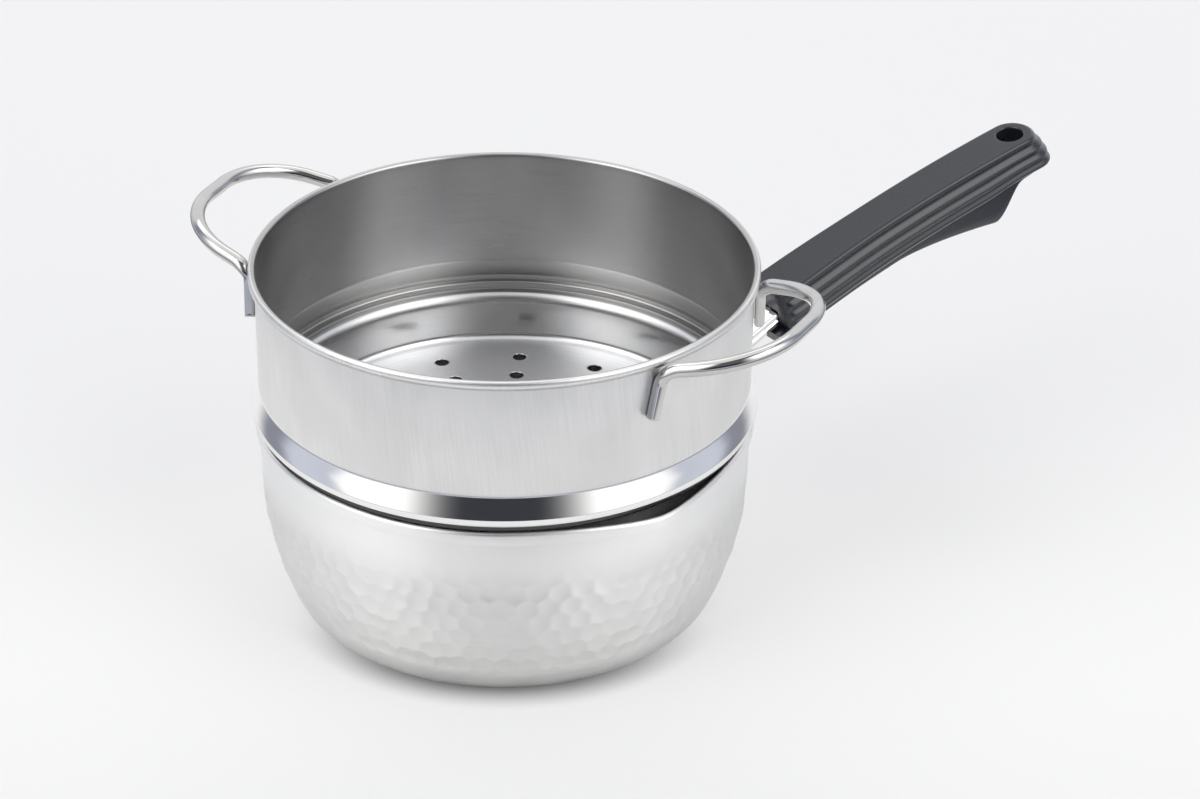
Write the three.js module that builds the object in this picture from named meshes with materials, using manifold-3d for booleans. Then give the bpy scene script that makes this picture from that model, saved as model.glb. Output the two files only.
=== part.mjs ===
// Stovetop steamer pot: a spouted pan with a moulded handle, and a steamer basket nested on its rim.
// Millimetres, +Z up. The origin is on the floor under the middle of the pan; the handle lies along +X.
import * as THREE from 'three';
import { mergeVertices } from 'three/addons/utils/BufferGeometryUtils.js';
import Module from 'manifold-3d';

const wasm = await Module();
wasm.setup();

// Pan sheet
const panInnerRadius = 100.3;
const panWall = 0.8;
const panHeight = 83.4;
const panFlankRadius = 120;
const panFlankTop = 56;
const panCornerRadius = 8;
const panRimHeight = 5.3;
const panRimProud = 1.7;

// Pouring spouts, one each side of the handle
const spoutReach = 5;
const spoutDip = 1.2;
const spoutHalfAngle = 28;
const spoutTipAngle = 4;
const spoutDepth = 32;
const spoutAngles = [91.3, -88.7];

// Steamer basket sheet
const basketWall = 0.7;
const basketHeight = 66.2;
const basketSink = 21.5;
const basketClearance = 4.2;
const basketFloorFillet = 4;
const ledgeCover = 0.8;
const lipRise = 3.2;
const lipHeight = 3.2;
const lipOverhang = 1.2;
const lipEase = 0.5;
const shoulderDepth = 3.2;
const shoulderHeight = 8.8;
const shoulderBendIn = 0.53;
const shoulderBendUp = 0.48;
const basketRimHeight = 3.4;
const basketRimProud = 2.2;
const hemEase = 0.6;

// Steam holes in radial rows
const holeDiameter = 6;
const holeRingRadius = 77;
const holeRingPitch = 16.5;
const holeCounts = [14, 14, 14, 7];

// Wire loops of the basket
const wireDiameter = 6;
const loopAngles = { loop_handle_front: -65, loop_handle_back: 121 };
const loopHalfWidth = 41.5;
const loopReach = 28.6;
const loopFlare = 13;
const loopCornerRadius = 33.5;
const loopLegDrop = 25;
const loopRootDrop = 5;
const loopEndRise = 4.1;
const loopBendRadius = 9;
const legSplay = 4.5;
const legFlatness = 0.72;
const legNarrowness = 0.76;
const legPressLength = 20;
const legPressFade = 5;

// Moulded handle
const gripTilt = 15.6;
const gripStandoff = 34.8;
const gripRootRise = 13;
const gripArch = 2.9;
const gripHoleDistance = 143.8;
const gripHoleDiameter = 12;
const gripEndShift = 1.3;
const gripEndLean = 0.32;
const gripRootFlare = 1.2;
const gripTopHalfWidth = 8.7;
const gripEdgeRound = 1.7;
const gripRidgeHalfWidth = 12.9;
const gripGrooveDepth = 2;
const gripWebHalfWidth = 9.5;
const keelNearDepth = 22.7;
const keelMidDepth = 21.2;
const keelBellyDepth = 33.7;
const keelEndDepth = 19.8;
const keelStraightEnd = 66;
const keelBellyEnd = 122;
const keelBellyCurve = 1.42;
const keelTaperEnd = 45;
const keelFallLength = 20;
const keelEdgeRound = 2;
const tongueLength = 4.6;
const tongueDepth = 17.9;

// Bracket and fixings of the handle
const plateWidth = 36;
const plateHeight = 24;
const plateThickness = 1.6;
const plateCornerRadius = 6;
const plateRimGap = 0.6;
const tangWidth = 12;
const tangHeight = 6;
const tangSheet = 1.4;
const tangRibWidth = 3.6;
const tangRibHeight = 0.7;
const tangLength = 34;
const tangDepth = 13.3;
const tangBendRadius = 17;
const screwDistance = 14;
const screwDiameter = 4;
const screwHeadDiameter = 7;
const screwHeadHeight = 2.2;
const screwHeadEase = 0.9;
const screwTipEase = 0.7;
const screwSlotWidth = 1;
const screwSlotLength = 3.9;
const screwSlotDepth = 1.2;
const washerThickness = 0.9;
const washerOuterDiameter = 7;
const washerSplit = 1;
const nutWidth = 7;
const nutThickness = 3.2;

// Fits
const seatGap = 0.3;
const weldGap = 0.25;
const socketClearance = 0.35;
const screwClearance = 0.3;
const cutOver = 2;

// Facet counts
const turnSegments = 60;
const wireSides = 10;
const wireSteps = 50;
const smallSegments = 20;
const holeSegments = 10;
const wallSegments = 120;
const spoutRows = 2;
const tangSteps = 14;
const plateSteps = 12;
const plateCornerSteps = 4;
const gripEndSteps = 12;
const gripStep = 9;
const gripFineStep = 4.5;

const steelSatin = new THREE.MeshStandardMaterial({ color: 0xc9cacb, roughness: 0.38, metalness: 1 });
const steelBrushed = new THREE.MeshStandardMaterial({ color: 0xcfd0d1, roughness: 0.3, metalness: 1 });
const steelPolished = new THREE.MeshStandardMaterial({ color: 0xdcdddd, roughness: 0.08, metalness: 1 });
const steelPlated = new THREE.MeshStandardMaterial({ color: 0xb9bbbd, roughness: 0.35, metalness: 1 });
const phenolic = new THREE.MeshStandardMaterial({ color: 0x2c2d30, roughness: 0.45, metalness: 0 });

const radians = THREE.MathUtils.degToRad;
const lerp = THREE.MathUtils.lerp;
const smooth = (x, from, to) => THREE.MathUtils.smoothstep(x, Math.min(from, to), Math.max(from, to));

// Points of an arc in a profile plane, from one angle to another in degrees
function arcPoints(centreX, centreY, radius, fromDegrees, toDegrees, steps) {
  const points = [];
  for (let i = 0; i <= steps; i += 1) {
    const angle = radians(lerp(fromDegrees, toDegrees, i / steps));
    points.push(new THREE.Vector2(centreX + radius * Math.cos(angle), centreY + radius * Math.sin(angle)));
  }
  return points;
}

// A profile of (radius, height) points turned about the Z axis
function turned(profile, segments = turnSegments) {
  const points = profile.map((p) => (p instanceof THREE.Vector2 ? p : new THREE.Vector2(...p)));
  return new THREE.LatheGeometry(points, segments).rotateX(Math.PI / 2);
}

// Moves every vertex of a geometry by a function that changes it in place
function reshape(geometry, move) {
  const position = geometry.attributes.position;
  const vertex = new THREE.Vector3();
  for (let i = 0; i < position.count; i += 1) {
    vertex.fromBufferAttribute(position, i);
    move(vertex);
    position.setXYZ(i, vertex.x, vertex.y, vertex.z);
  }
  return geometry;
}

// Closed geometry to a solid for cutting and joining
function toSolid(geometry) {
  const bare = geometry.clone();
  bare.deleteAttribute('normal');
  bare.deleteAttribute('uv');
  const merged = mergeVertices(bare, 1e-4);
  const index = merged.index.array;
  const triangles = [];
  for (let i = 0; i < index.length; i += 3) {
    const [a, b, c] = [index[i], index[i + 1], index[i + 2]];
    if (a !== b && b !== c && c !== a) {
      triangles.push(a, b, c);
    }
  }
  return new wasm.Manifold(new wasm.Mesh({
    numProp: 3,
    vertProperties: new Float32Array(merged.attributes.position.array),
    triVerts: new Uint32Array(triangles),
  }));
}

function toGeometry(solid) {
  const mesh = solid.getMesh();
  const geometry = new THREE.BufferGeometry();
  geometry.setAttribute('position', new THREE.BufferAttribute(new Float32Array(mesh.vertProperties), 3));
  geometry.setIndex(new THREE.BufferAttribute(new Uint32Array(mesh.triVerts), 1));
  geometry.computeVertexNormals();
  return geometry;
}

const cutFrom = (body, ...tools) => tools.reduce((solid, tool) => solid.subtract(toSolid(tool)), body);

function named(name, geometry, material) {
  const mesh = new THREE.Mesh(geometry, material);
  mesh.name = name;
  return mesh;
}

// Upright cylinder with its lower face at a given height
function upright(radius, low, high, segments = smallSegments) {
  return new THREE.CylinderGeometry(radius, radius, high - low, segments)
    .rotateX(Math.PI / 2)
    .translate(0, 0, (low + high) / 2);
}

// Box between two corners
function block(low, high) {
  const size = high.map((value, axis) => value - low[axis]);
  return new THREE.BoxGeometry(...size).translate(...low.map((value, axis) => value + size[axis] / 2));
}

// Flat-topped hem of a sheet edge, from the outer wall over the top to the inner wall
function hemPoints(innerRadius, wall, proud, top, height) {
  const outerRadius = innerRadius + wall + proud;
  const crown = (wall + proud) / 2;
  const ease = Math.min(hemEase, proud / 2, height / 2);
  return [
    [innerRadius + wall, top - height],
    [outerRadius - ease, top - height],
    [outerRadius, top - height + ease],
    ...arcPoints(innerRadius + crown, top - crown, crown, 0, 180, 4),
  ];
}

// Pan
const panOuterRadius = panInnerRadius + panWall;
const panRimRadius = panOuterRadius + panRimProud;
const flankCentre = panOuterRadius - panFlankRadius;
const cornerRise = panFlankTop - panCornerRadius;
const cornerCentre = flankCentre + Math.sqrt((panFlankRadius - panCornerRadius) ** 2 - cornerRise ** 2);
const cornerAngle = -THREE.MathUtils.radToDeg(Math.atan2(cornerRise, cornerCentre - flankCentre));

// Base corner and belly of the pan, drawn in from the outside by an inset
function panFlank(inset) {
  return [
    ...arcPoints(cornerCentre, panCornerRadius, panCornerRadius - inset, -90, cornerAngle, 4),
    ...arcPoints(flankCentre, panFlankTop, panFlankRadius - inset, cornerAngle, 0, 5).slice(1),
  ];
}

// Share of the spout's reach at an angle: two straight flanks that meet in a rounded tip
function spoutShare(angle) {
  const share = spoutAngles.map((spoutAngle) => {
    const turn = THREE.MathUtils.euclideanModulo(angle - spoutAngle + 180, 360) - 180;
    const off = Math.hypot(turn, spoutTipAngle) - spoutTipAngle;
    return Math.max(0, 1 - off / spoutHalfAngle) ** 2;
  });
  return Math.max(...share);
}

function buildPan() {
  const spoutHeights = Array.from({ length: spoutRows }, (_, i) => lerp(
    panFlankTop, panHeight - panRimHeight, (i + 1) / (spoutRows + 1)));
  const profile = [
    [0, 0],
    ...panFlank(0),
    ...spoutHeights.map((height) => [panOuterRadius, height]),
    ...hemPoints(panInnerRadius, panWall, panRimProud, panHeight, panRimHeight),
    [panInnerRadius, panHeight - panRimHeight],
    ...spoutHeights.toReversed().map((height) => [panInnerRadius, height]),
    ...panFlank(panWall).reverse(),
    [0, panWall],
  ];
  return reshape(turned(profile), (vertex) => {
    const radius = Math.hypot(vertex.x, vertex.y);
    const fade = smooth(vertex.z, panHeight - spoutDepth, panHeight - panRimHeight / 2);
    if (fade === 0 || radius === 0) {
      return;
    }
    const share = fade * spoutShare(THREE.MathUtils.radToDeg(Math.atan2(vertex.y, vertex.x)));
    const stretch = 1 + (spoutReach * share) / radius;
    vertex.set(vertex.x * stretch, vertex.y * stretch, vertex.z - spoutDip * share);
  });
}

// Basket
const ledgeUnder = panHeight + seatGap;
const lipBottom = ledgeUnder + lipRise;
const lipTop = lipBottom + lipHeight;
const shoulderTop = lipTop + shoulderHeight;
const basketTop = ledgeUnder + basketHeight;
const floorUnder = ledgeUnder - basketSink;
const lipRadius = panRimRadius + lipOverhang;
const basketRadius = lipRadius - shoulderDepth;
const lowerRadius = panInnerRadius - basketClearance;
const ledgeRadius = panInnerRadius + (panWall + panRimProud) / 2 + ledgeCover - basketWall;

// Slightly hollow shoulder from the lip up to the wall, drawn in by an inset
function shoulderPoints(inset) {
  const low = new THREE.Vector2(lipRadius - inset, lipTop);
  const high = new THREE.Vector2(basketRadius - inset, shoulderTop);
  const bend = new THREE.Vector2(lerp(low.x, high.x, shoulderBendIn), lerp(low.y, high.y, shoulderBendUp));
  return new THREE.QuadraticBezierCurve(low, bend, high).getPoints(3);
}

function buildBasket() {
  const wall = basketWall;
  const filletCentre = floorUnder + basketFloorFillet;
  const floorFillet = (inset) => arcPoints(
    lowerRadius - basketFloorFillet, filletCentre, basketFloorFillet - inset, -90, 0, 3);
  const profile = [
    [0, floorUnder],
    ...floorFillet(0),
    [lowerRadius, ledgeUnder],
    [ledgeRadius, ledgeUnder],
    [ledgeRadius, lipBottom],
    [lipRadius - lipEase, lipBottom],
    [lipRadius, lipBottom + lipEase],
    ...shoulderPoints(0),
    ...hemPoints(basketRadius - wall, wall, basketRimProud, basketTop, basketRimHeight),
    ...shoulderPoints(wall).reverse(),
    [lipRadius - wall, lipBottom + wall],
    [ledgeRadius - wall, lipBottom + wall],
    [ledgeRadius - wall, ledgeUnder + wall],
    [lowerRadius - wall, ledgeUnder + wall],
    ...floorFillet(wall).reverse(),
    [0, floorUnder + wall],
  ];
  const holes = holeCounts.flatMap((count, ring) => Array.from({ length: count }, (_, i) => {
    const radius = holeRingRadius - ring * holeRingPitch;
    const angle = (2 * Math.PI * i) / count;
    return upright(holeDiameter / 2, floorUnder - wall, floorUnder + 2 * wall, holeSegments)
      .translate(radius * Math.cos(angle), radius * Math.sin(angle), 0);
  }));
  return toGeometry(cutFrom(toSolid(turned(profile)), ...holes));
}

// Round-cornered path through points, with a radius for each inner corner
class CornerCurve extends THREE.Curve {
  constructor(before, corner, after, radius) {
    super();
    const into = corner.clone().sub(before).normalize();
    const out = after.clone().sub(corner).normalize();
    this.turn = into.angleTo(out);
    const back = radius * Math.tan(this.turn / 2);
    const inward = out.clone().sub(into).normalize();
    this.start = corner.clone().addScaledVector(into, -back);
    this.end = corner.clone().addScaledVector(out, back);
    this.centre = corner.clone().addScaledVector(inward, radius / Math.cos(this.turn / 2));
    this.axis = into.clone().cross(out).normalize();
  }

  getPoint(t, target = new THREE.Vector3()) {
    target.copy(this.start).sub(this.centre).applyAxisAngle(this.axis, t * this.turn);
    return target.add(this.centre);
  }
}

function roundedPath(points, radii) {
  const path = new THREE.CurvePath();
  let from = points[0];
  radii.forEach((radius, i) => {
    const corner = new CornerCurve(points[i], points[i + 1], points[i + 2], radius);
    path.add(new THREE.LineCurve3(from, corner.start));
    path.add(corner);
    from = corner.end;
  });
  path.add(new THREE.LineCurve3(from, points[points.length - 1]));
  return path;
}

// Wire loop in its own frame: +X points away from the basket, Y runs along the wall
const wireRadius = wireDiameter / 2;
const legRadius = basketRadius + weldGap + wireRadius;
const legOut = Math.sqrt(legRadius ** 2 - loopHalfWidth ** 2);
const rootAngle = Math.atan2(loopHalfWidth, legOut);
const footAngle = rootAngle + legSplay / legRadius;
const legLow = basketTop - loopLegDrop;
const legHigh = basketTop - loopRootDrop;

function buildLoop() {
  const reach = legRadius + loopReach;
  const cornerSide = loopHalfWidth - (reach - legOut) * Math.tan(radians(loopFlare));
  const side = (sign) => [
    new THREE.Vector3(legRadius * Math.cos(footAngle), sign * legRadius * Math.sin(footAngle), legLow),
    new THREE.Vector3(legOut, sign * loopHalfWidth, legHigh),
    new THREE.Vector3(reach, sign * cornerSide, basketTop + loopEndRise),
  ];
  const points = [...side(-1), ...side(1).reverse()];
  const bends = [loopBendRadius, loopCornerRadius, loopCornerRadius, loopBendRadius];
  const section = new THREE.Shape();
  section.absarc(0, 0, wireRadius, 0, 2 * Math.PI);
  const geometry = new THREE.ExtrudeGeometry(section, {
    steps: wireSteps,
    curveSegments: wireSides / 2,
    extrudePath: roundedPath(points, bends),
  });
  return reshape(geometry, pressLeg);
}

// Presses the welded end of a leg flat towards the wall and narrower along it
function pressLeg(vertex) {
  const pressHigh = legLow + legPressLength;
  const press = 1 - smooth(vertex.z, pressHigh - legPressFade, pressHigh);
  if (press === 0) {
    return;
  }
  const middle = Math.sign(vertex.y) * lerp(footAngle, rootAngle, (vertex.z - legLow) / (legHigh - legLow));
  const turn = middle + (Math.atan2(vertex.y, vertex.x) - middle) * lerp(1, legNarrowness, press);
  const seat = legRadius - wireRadius;
  const radius = seat + (Math.hypot(vertex.x, vertex.y) - seat) * lerp(1, legFlatness, press);
  vertex.set(radius * Math.cos(turn), radius * Math.sin(turn), vertex.z);
}

// Grip in its own frame: X runs along the handle, Z is square to the chord of its arched top face
const gripEndCentre = gripHoleDistance + gripEndShift;

// Rise of the arched top face above its chord
function archRise(x) {
  const share = x / gripHoleDistance;
  return 4 * gripArch * share * (1 - share);
}

// Extra half width towards the root
const rootFlare = (x) => gripRootFlare * (1 - smooth(x, 0, keelStraightEnd));

// Depth of the keel under the chord
function keelDepth(x) {
  if (x < keelStraightEnd) {
    return lerp(keelNearDepth, keelMidDepth, smooth(x, -tongueLength, keelTaperEnd));
  }
  if (x < keelBellyEnd) {
    const share = (x - keelStraightEnd) / (keelBellyEnd - keelStraightEnd);
    return lerp(keelMidDepth, keelBellyDepth, share ** keelBellyCurve);
  }
  return lerp(keelBellyDepth, keelEndDepth, smooth(x, keelBellyEnd, keelBellyEnd + keelFallLength));
}

// Side of the grip from the top face down: depth and half width of the rounded edge, ridges and grooves
const grooveHalfWidth = gripRidgeHalfWidth - gripGrooveDepth;
const gripSide = [
  { depth: 0, half: gripTopHalfWidth - gripEdgeRound },
  { depth: 0.35, half: gripTopHalfWidth },
  { depth: 1.6, half: gripTopHalfWidth + 1.3 },
  { depth: 2.8, half: gripTopHalfWidth + 1.6 },
  { depth: 4.3, half: gripRidgeHalfWidth - 1 },
  { depth: 6.4, half: gripRidgeHalfWidth - 1.3 },
  { depth: 7.9, half: grooveHalfWidth },
  { depth: 9.2, half: gripRidgeHalfWidth - 0.5 },
  { depth: 10.8, half: gripRidgeHalfWidth },
  { depth: 12.5, half: gripRidgeHalfWidth - 0.6 },
  { depth: 13.8, half: grooveHalfWidth },
  { depth: 16.1, half: grooveHalfWidth + 0.6 },
  { depth: 18, half: gripWebHalfWidth },
];
const webTop = gripSide[gripSide.length - 1].depth;
const keelSide = [
  { share: 0.5, lift: 0, half: gripWebHalfWidth },
  { share: 1, lift: keelEdgeRound, half: gripWebHalfWidth - keelEdgeRound / 4 },
  { share: 1, lift: keelEdgeRound / 4, half: gripWebHalfWidth - keelEdgeRound },
  { share: 1, lift: 0, half: gripWebHalfWidth - 2 * keelEdgeRound },
];

// Places along the grip, closer together where the belly ends
function gripStations() {
  const fineStart = keelBellyEnd - keelFallLength / 2;
  const coarse = Math.round((fineStart + tongueLength) / gripStep);
  const fine = Math.round((gripEndCentre - fineStart) / gripFineStep);
  return [
    ...Array.from({ length: coarse }, (_, i) => lerp(-tongueLength, fineStart, i / coarse)),
    ...Array.from({ length: fine }, (_, i) => lerp(fineStart, gripEndCentre, i / fine)),
  ];
}

// Rings of points from the top face down to the keel, each running round the grip with a round far end
function gripRings() {
  const stations = gripStations();
  const outline = (half, lean) => [
    ...stations.map((x) => [x, -half - rootFlare(x)]),
    ...arcPoints(gripEndCentre, 0, half, -90, 90, gripEndSteps).map((p) => [p.x, p.y]),
    ...stations.map((x) => [x, half + rootFlare(x)]).reverse(),
  ].map(([x, y]) => [x + (lean * Math.max(0, x)) / gripEndCentre, y]);
  return [
    ...gripSide.map(({ depth, half }) => outline(half, depth * gripEndLean).map(
      ([x, y]) => [x, y, archRise(x) - depth])),
    ...keelSide.map(({ share, lift, half }) => outline(half, webTop * gripEndLean * (1 - share)).map(
      ([x, y]) => [x, y, lerp(archRise(x) - webTop, -keelDepth(x) + lift, share)])),
  ];
}

function buildGripBody() {
  const rings = gripRings();
  const count = rings[0].length;
  const index = [];
  for (let ring = 0; ring + 1 < rings.length; ring += 1) {
    for (let i = 0; i < count; i += 1) {
      const next = (i + 1) % count;
      const [upper, upperNext] = [ring * count + i, ring * count + next];
      const [lower, lowerNext] = [upper + count, upperNext + count];
      index.push(lower, lowerNext, upperNext, lower, upperNext, upper);
    }
  }
  const last = (rings.length - 1) * count;
  for (let i = 0; i + 1 < count / 2; i += 1) {
    const [right, rightNext, left, leftNext] = [i, i + 1, count - 1 - i, count - 2 - i];
    index.push(right, rightNext, leftNext, right, leftNext, left);
    index.push(last + rightNext, last + right, last + left, last + rightNext, last + left, last + leftNext);
  }
  const geometry = new THREE.BufferGeometry();
  geometry.setAttribute('position', new THREE.Float32BufferAttribute(rings.flat(2), 3));
  geometry.setIndex(index);
  return geometry;
}

const socketTop = -tangDepth + tangHeight / 2 + tangRibHeight + socketClearance;
const socketBottom = -tangDepth - tangHeight / 2 - socketClearance;
const socketHalf = tangWidth / 2 + socketClearance;
const screwKeel = -keelDepth(screwDistance);
const screwSeat = screwKeel + screwHeadHeight + washerThickness + 2 * screwClearance;

function buildGrip() {
  const hole = upright(gripHoleDiameter / 2, -keelBellyDepth - cutOver, gripArch + cutOver)
    .translate(gripHoleDistance, 0, 0);
  const nose = block(
    [-tongueLength - cutOver, -gripRidgeHalfWidth - gripRootFlare - cutOver, -tongueDepth],
    [0, gripRidgeHalfWidth + gripRootFlare + cutOver, gripArch + cutOver]);
  const socket = block(
    [-tongueLength - cutOver, -socketHalf, socketBottom],
    [tangLength + socketClearance, socketHalf, socketTop]);
  const socketMiddle = (socketTop + socketBottom) / 2;
  const screwHole = upright(screwDiameter / 2 + screwClearance, screwKeel - cutOver, socketMiddle)
    .translate(screwDistance, 0, 0);
  const headRadius = Math.max(screwHeadDiameter, washerOuterDiameter) / 2 + screwClearance;
  const headPocket = upright(headRadius, screwKeel - cutOver, screwSeat).translate(screwDistance, 0, 0);
  return toGeometry(cutFrom(toSolid(buildGripBody()), hole, nose, socket, screwHole, headPocket));
}

// Fixings in the grip's frame
const tangWebUnder = -tangDepth + tangHeight / 2 - tangSheet;

function buildNut() {
  const top = tangWebUnder - weldGap;
  const low = top - nutThickness;
  const body = block(
    [screwDistance - nutWidth / 2, -nutWidth / 2, low],
    [screwDistance + nutWidth / 2, nutWidth / 2, top]);
  const bore = upright(screwDiameter / 2 + screwClearance, low - cutOver, top + cutOver)
    .translate(screwDistance, 0, 0);
  return toGeometry(cutFrom(toSolid(body), bore));
}

function buildWasher() {
  const low = screwSeat - screwClearance - washerThickness;
  const high = low + washerThickness;
  const ring = upright(washerOuterDiameter / 2, low, high);
  const bore = upright(screwDiameter / 2 + screwClearance, low - cutOver, high + cutOver);
  const split = block(
    [0, -washerSplit / 2, low - cutOver],
    [washerOuterDiameter, washerSplit / 2, high + cutOver]);
  return toGeometry(cutFrom(toSolid(ring), bore, split)).translate(screwDistance, 0, 0);
}

function buildScrew() {
  const headTop = screwSeat - 2 * screwClearance - washerThickness;
  const headLow = headTop - screwHeadHeight;
  const shankTop = tangWebUnder - weldGap - screwClearance;
  const shank = screwDiameter / 2;
  const head = screwHeadDiameter / 2;
  const body = turned([
    [0, headLow],
    [head - screwHeadEase, headLow],
    [head, headLow + screwHeadEase],
    [head, headTop],
    [shank, headTop],
    [shank, shankTop - screwTipEase],
    [shank - screwTipEase, shankTop],
    [0, shankTop],
  ], smallSegments);
  const slots = [[screwSlotLength, screwSlotWidth], [screwSlotWidth, screwSlotLength]];
  const cross = slots.map(([x, y]) => block(
    [-x / 2, -y / 2, headLow - cutOver], [x / 2, y / 2, headLow + screwSlotDepth]));
  return toGeometry(cutFrom(toSolid(body), ...cross)).translate(screwDistance, 0, 0);
}

// Bracket: a curved plate on the pan's wall and a ribbed channel that runs up into the grip
const gripRoot = new THREE.Vector3(panOuterRadius + gripStandoff, 0, panHeight + gripRootRise);
const gripAngle = radians(gripTilt);

function gripPoint(x, z) {
  return new THREE.Vector3(x, 0, z).applyAxisAngle(new THREE.Vector3(0, 1, 0), -gripAngle).add(gripRoot);
}

// Channel section, open below, with a rib along the middle of its top; its Y runs downwards
function channelSection() {
  const half = tangWidth / 2;
  const top = -tangHeight / 2;
  const rib = tangRibWidth / 2;
  const inner = half - tangSheet;
  const ease = tangSheet / 2;
  const points = [
    [-half, -top], [-half, top + ease], [-half + ease, top], [-rib, top], [-rib + ease, top - tangRibHeight],
    [rib - ease, top - tangRibHeight], [rib, top], [half - ease, top], [half, top + ease], [half, -top],
    [inner, -top], [inner, top + tangSheet], [-inner, top + tangSheet], [-inner, -top],
  ];
  return new THREE.Shape(points.map(([x, y]) => new THREE.Vector2(x, y)));
}

function buildBracket() {
  const plateInner = panOuterRadius + weldGap;
  const plateOuter = plateInner + plateThickness;
  const plateZ = panHeight - panRimHeight - plateRimGap - plateHeight / 2;
  const halfAngle = plateWidth / 2 / plateInner;
  const strip = new THREE.Shape();
  strip.absarc(0, 0, plateOuter, -halfAngle, halfAngle, false);
  strip.absarc(0, 0, plateInner, halfAngle, -halfAngle, true);
  const bend = { depth: plateHeight, bevelEnabled: false, curveSegments: plateSteps };
  const curved = new THREE.ExtrudeGeometry(strip, bend)
    .translate(0, 0, plateZ - plateHeight / 2);
  const [w, h, r] = [plateWidth / 2, plateHeight / 2, plateCornerRadius];
  const face = new THREE.Shape();
  face.absarc(w - r, h - r, r, 0, Math.PI / 2);
  face.absarc(r - w, h - r, r, Math.PI / 2, Math.PI);
  face.absarc(r - w, r - h, r, Math.PI, 1.5 * Math.PI);
  face.absarc(w - r, r - h, r, 1.5 * Math.PI, 2 * Math.PI);
  const punch = { depth: panOuterRadius, bevelEnabled: false, curveSegments: plateCornerSteps };
  const outline = new THREE.ExtrudeGeometry(face, punch)
    .rotateZ(Math.PI / 2)
    .rotateY(Math.PI / 2)
    .translate(panOuterRadius / 2, 0, plateZ);
  const plate = toSolid(curved).intersect(toSolid(outline));
  const path = roundedPath([
    new THREE.Vector3(plateInner - tangHeight / 2, 0, plateZ),
    gripPoint(0, -tangDepth),
    gripPoint(tangLength, -tangDepth),
  ], [tangBendRadius]);
  const channel = new THREE.ExtrudeGeometry(channelSection(), { steps: tangSteps, extrudePath: path });
  const wallSide = upright(plateInner, 0, panHeight, wallSegments);
  return toGeometry(cutFrom(toSolid(channel), wallSide).add(plate));
}

// Assembly
const steamerPot = new THREE.Group();

const pan = new THREE.Group();
pan.add(named('pan_body', buildPan(), steelSatin));
pan.add(named('handle_bracket', buildBracket(), steelPolished));

const handle = new THREE.Group();
handle.position.copy(gripRoot);
handle.rotation.y = -gripAngle;
handle.add(named('handle_grip', buildGrip(), phenolic));
handle.add(named('tang_nut', buildNut(), steelPlated));
handle.add(named('grip_spring_washer', buildWasher(), steelPlated));
handle.add(named('grip_screw', buildScrew(), steelPlated));
pan.add(handle);
steamerPot.add(pan);

const basket = new THREE.Group();
basket.add(named('basket_body', buildBasket(), steelBrushed));
Object.entries(loopAngles).forEach(([name, angle]) => {
  const loop = named(name, buildLoop(), steelPolished);
  loop.rotation.z = radians(angle);
  basket.add(loop);
});
steamerPot.add(basket);

export default steamerPot;
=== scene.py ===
import math

import bmesh
import bpy
import numpy as np
from mathutils import Matrix, Vector


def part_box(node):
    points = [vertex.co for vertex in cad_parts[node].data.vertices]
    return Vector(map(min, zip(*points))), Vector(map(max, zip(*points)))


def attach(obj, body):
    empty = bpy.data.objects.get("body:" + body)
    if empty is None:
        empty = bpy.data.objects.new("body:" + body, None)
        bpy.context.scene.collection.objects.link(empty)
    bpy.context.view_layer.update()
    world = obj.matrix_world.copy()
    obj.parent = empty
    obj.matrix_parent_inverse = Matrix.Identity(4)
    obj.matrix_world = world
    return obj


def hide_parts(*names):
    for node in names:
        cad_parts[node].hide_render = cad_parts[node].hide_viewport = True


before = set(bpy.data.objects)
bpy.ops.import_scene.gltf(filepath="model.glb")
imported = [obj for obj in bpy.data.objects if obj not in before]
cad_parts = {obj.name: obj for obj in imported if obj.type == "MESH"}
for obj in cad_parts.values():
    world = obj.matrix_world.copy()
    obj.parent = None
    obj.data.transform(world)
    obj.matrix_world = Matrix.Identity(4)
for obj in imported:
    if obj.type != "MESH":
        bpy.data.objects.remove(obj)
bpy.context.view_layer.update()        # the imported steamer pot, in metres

scene = bpy.context.scene
scene.view_settings.view_transform = "Standard"
mm = 0.001               # the sizes below are in millimetres


# Shapes on grids

def smoothStep(value, low, high):
    share = np.clip((value - low) / (high - low), 0, 1)
    return share * share * (3 - 2 * share)


def mixed(a, b, share):
    return a + (b - a) * share


def unit(vectors):
    return vectors / np.linalg.norm(vectors, axis=-1, keepdims=True)


# Arc in a profile plane: centre plus radius times (cosine, sine) of an even run of angles
def arcPoints(centre, radius, start, end, steps):
    turn = np.radians(np.linspace(start, end, steps + 1))
    return np.column_stack([centre[0] + radius * np.cos(turn), centre[1] + radius * np.sin(turn)])


# Polyline whose inner corners are swapped for arcs that touch both their lines
def roundCorners(points, radii, steps=6):
    points = np.asarray(points, float)
    path = [points[:1]]
    for before, corner, after, radius in zip(points, points[1:], points[2:], radii):
        into, out = unit(corner - before), unit(after - corner)
        turn = math.acos(np.clip(into @ out, -1, 1))
        inward = unit(out - into * (into @ out))
        swing = np.linspace(0, turn, steps + 1)[:, None]
        start = corner - into * radius * math.tan(turn / 2)
        path.append(start + radius * (np.sin(swing) * into + (1 - np.cos(swing)) * inward))
    path.append(points[-1:])
    return np.concatenate(path)


# Points put in along a polyline so that no step is longer than asked
def densify(points, step):
    counts = np.maximum(1, np.ceil(np.linalg.norm(np.diff(points, axis=0), axis=1) / step)).astype(int)
    runs = [np.linspace(a, b, n, endpoint=False) for a, b, n in zip(points, points[1:], counts)]
    return np.concatenate(runs + [points[-1:]])


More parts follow.
